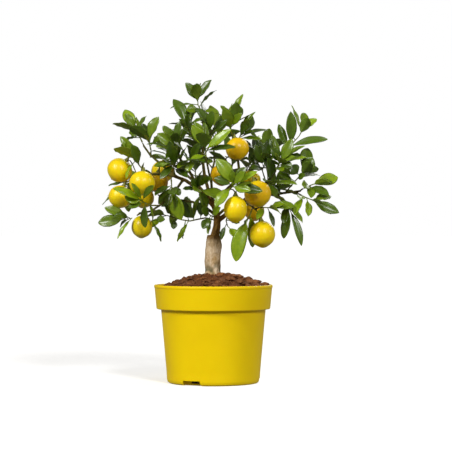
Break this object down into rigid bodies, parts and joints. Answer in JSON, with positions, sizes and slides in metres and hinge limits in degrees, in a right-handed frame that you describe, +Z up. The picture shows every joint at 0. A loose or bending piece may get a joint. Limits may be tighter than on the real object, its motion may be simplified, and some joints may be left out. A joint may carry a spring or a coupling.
{
  "type": "potted limequat tree",
  "caption": "Small standard citrus tree with glossy leaves and yellow oval fruit, in a plain tapered plastic nursery pot filled with bark soil.",
  "frame": {"origin": "centre of the pot's foot, on the floor", "axes": "+Z up along the pot's axis, -Y to the front, +X to the viewer's right"},
  "size_m": [0.3823, 0.2465, 0.485],
  "materials": {
    "pot": "satin",
    "soil": "matte",
    "bark": "matte",
    "fruit": "satin",
    "leaf": "satin"
  },
  "bodies": {
    "root": {"pot": "pot", "soil": "soil", "trunk_and_branches": "bark", "limequat_01": "fruit", "limequat_02": "fruit", "limequat_03": "fruit", "limequat_04": "fruit", "limequat_05": "fruit", "limequat_06": "fruit", "limequat_07": "fruit", "limequat_08": "fruit", "limequat_09": "fruit", "limequat_10": "fruit", "limequat_11": "fruit", "limequat_12": "fruit", "limequat_13": "fruit", "limequat_14": "fruit", "shoot_top_sprig": "leaf", "shoot_top_left": "leaf", "shoot_top_right": "leaf", "shoot_front_centre": "leaf", "shoot_upper_left": "leaf", "shoot_upper_left_inner": "leaf", "shoot_far_left_top": "leaf", "shoot_left_crest": "leaf", "shoot_left_shoulder": "leaf", "shoot_left_back": "leaf", "shoot_under_cluster": "leaf", "shoot_left_low": "leaf", "shoot_left_drop": "leaf", "shoot_inner_left": "leaf", "shoot_inner_left_low": "leaf", "shoot_inner_centre": "leaf", "shoot_low_left": "leaf", "shoot_trunk_front": "leaf", "shoot_trunk_right": "leaf", "shoot_front_node": "leaf", "shoot_crest_right": "leaf", "shoot_crest_right_side": "leaf", "shoot_right_sprig": "leaf", "shoot_right_fork": "leaf", "shoot_right_inner": "leaf", "shoot_right_inner_low": "leaf", "shoot_right_outer": "leaf", "shoot_right_tip": "leaf", "shoot_right_droop": "leaf", "shoot_right_hang": "leaf", "shoot_bottom_right": "leaf", "shoot_bottom_right_out": "leaf", "shoot_back_left_1": "leaf", "shoot_back_left_2": "leaf", "shoot_back_left_3": "leaf", "shoot_back_right_1": "leaf", "shoot_back_right_2": "leaf", "shoot_back_right_3": "leaf", "shoot_back_mid_1": "leaf", "shoot_back_mid_2": "leaf", "shoot_back_low_right_1": "leaf", "shoot_back_low_left_1": "leaf", "shoot_back_low_left_2": "leaf"}
  },
  "joints": []
}
